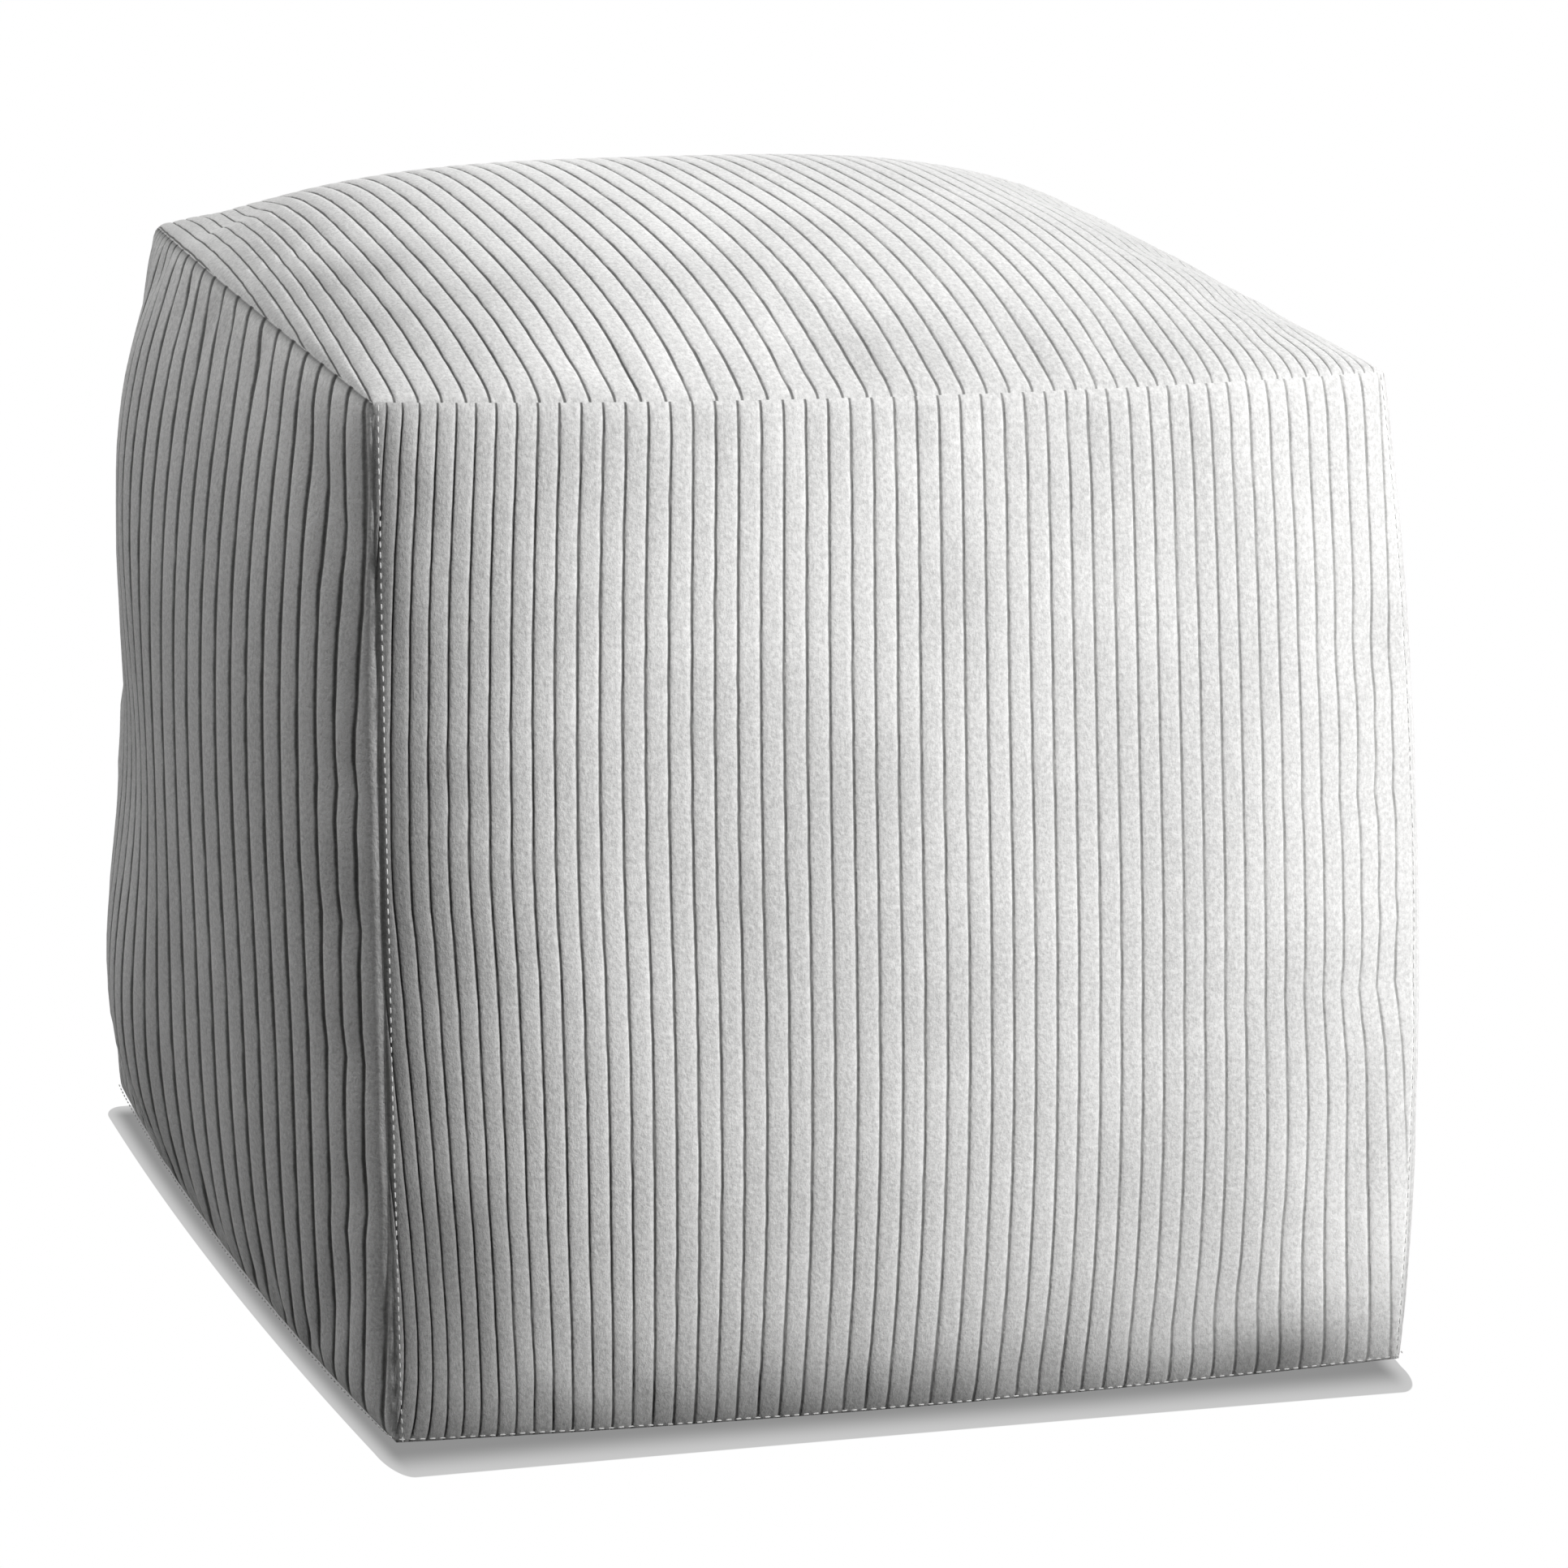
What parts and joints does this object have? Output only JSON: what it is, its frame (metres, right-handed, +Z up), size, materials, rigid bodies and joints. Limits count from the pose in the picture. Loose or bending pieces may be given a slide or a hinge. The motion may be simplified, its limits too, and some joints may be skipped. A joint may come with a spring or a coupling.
{
  "type": "cube bean bag",
  "caption": "Soft filled cube pouf in wide-wale corduroy, crowned on top and flat underneath, for sitting on or resting feet.",
  "frame": {"origin": "under the middle of the outline, on the surface that the pouf rests on", "axes": "+Z up; the front panel faces -Y and the left panel faces -X; the wales of the top panel run along Y"},
  "size_m": [0.518, 0.5072, 0.4889],
  "materials": {
    "corduroy": "pale grey jumbo corduroy, soft brushed pile"
  },
  "bodies": {
    "root": {"cushion": "corduroy"}
  },
  "joints": []
}
